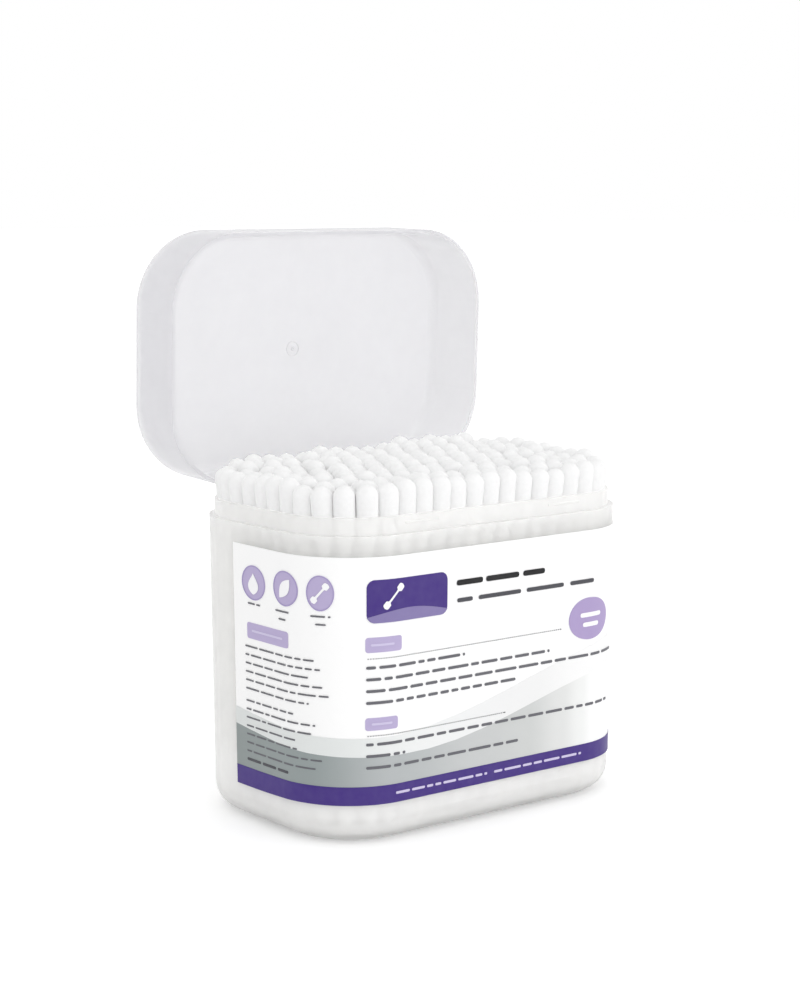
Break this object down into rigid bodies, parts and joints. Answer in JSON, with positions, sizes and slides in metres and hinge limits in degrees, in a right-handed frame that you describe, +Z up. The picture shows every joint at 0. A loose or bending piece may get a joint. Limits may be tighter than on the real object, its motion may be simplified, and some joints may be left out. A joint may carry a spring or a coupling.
{
  "type": "cotton swab box",
  "caption": "Rounded translucent plastic tub with a snap-hinged flip lid standing open, a wrap-round label, and cotton swabs in nested rows.",
  "frame": {"origin": "middle of the flat base, on the surface that the box stands on", "axes": "+Z up, +X to the right along the front, the label's front faces -Y and the lid is hinged along the back (+Y)"},
  "size_m": [0.0888, 0.0775, 0.1275],
  "materials": {
    "tub_plastic": "satin, milky and slightly see-through",
    "lid_plastic": "satin, milky and slightly see-through",
    "label_film": "satin white film",
    "purple_ink": "printed, satin",
    "lilac_ink": "printed, satin",
    "light_grey_ink": "printed, satin",
    "dark_grey_ink": "printed, satin",
    "charcoal_ink": "printed, satin",
    "stem_paper": "rolled white paper, matte",
    "cotton": "white cotton, fuzzy"
  },
  "bodies": {
    "base": {"tub": "tub_plastic", "label_film": "label_film", "print_purple": "purple_ink", "print_lilac": "lilac_ink", "print_light_wave": "light_grey_ink", "print_dark_wave": "dark_grey_ink", "print_lines": "charcoal_ink", "swab_stems_row_01": "stem_paper", "swab_stems_row_02": "stem_paper", "swab_stems_row_03": "stem_paper", "swab_stems_row_04": "stem_paper", "swab_stems_row_05": "stem_paper", "swab_stems_row_06": "stem_paper", "swab_stems_row_07": "stem_paper", "swab_stems_row_08": "stem_paper", "swab_stems_row_09": "stem_paper", "swab_top_tips_row_01": "cotton", "swab_top_tips_row_02": "cotton", "swab_top_tips_row_03": "cotton", "swab_top_tips_row_04": "cotton", "swab_top_tips_row_05": "cotton", "swab_top_tips_row_06": "cotton", "swab_top_tips_row_07": "cotton", "swab_top_tips_row_08": "cotton", "swab_top_tips_row_09": "cotton", "swab_bottom_tips_row_01": "cotton", "swab_bottom_tips_row_02": "cotton", "swab_bottom_tips_row_03": "cotton", "swab_bottom_tips_row_04": "cotton", "swab_bottom_tips_row_05": "cotton", "swab_bottom_tips_row_06": "cotton", "swab_bottom_tips_row_07": "cotton", "swab_bottom_tips_row_08": "cotton", "swab_bottom_tips_row_09": "cotton"},
    "lid": {"lid": "lid_plastic"}
  },
  "joints": [
    {"name": "lid_hinge", "type": "hinge", "parent": "base", "child": "lid", "pos_m": [0, 0.0319, 0.0665], "axis": [-1, 0, 0], "range_deg": [-88, 0]}
  ]
}
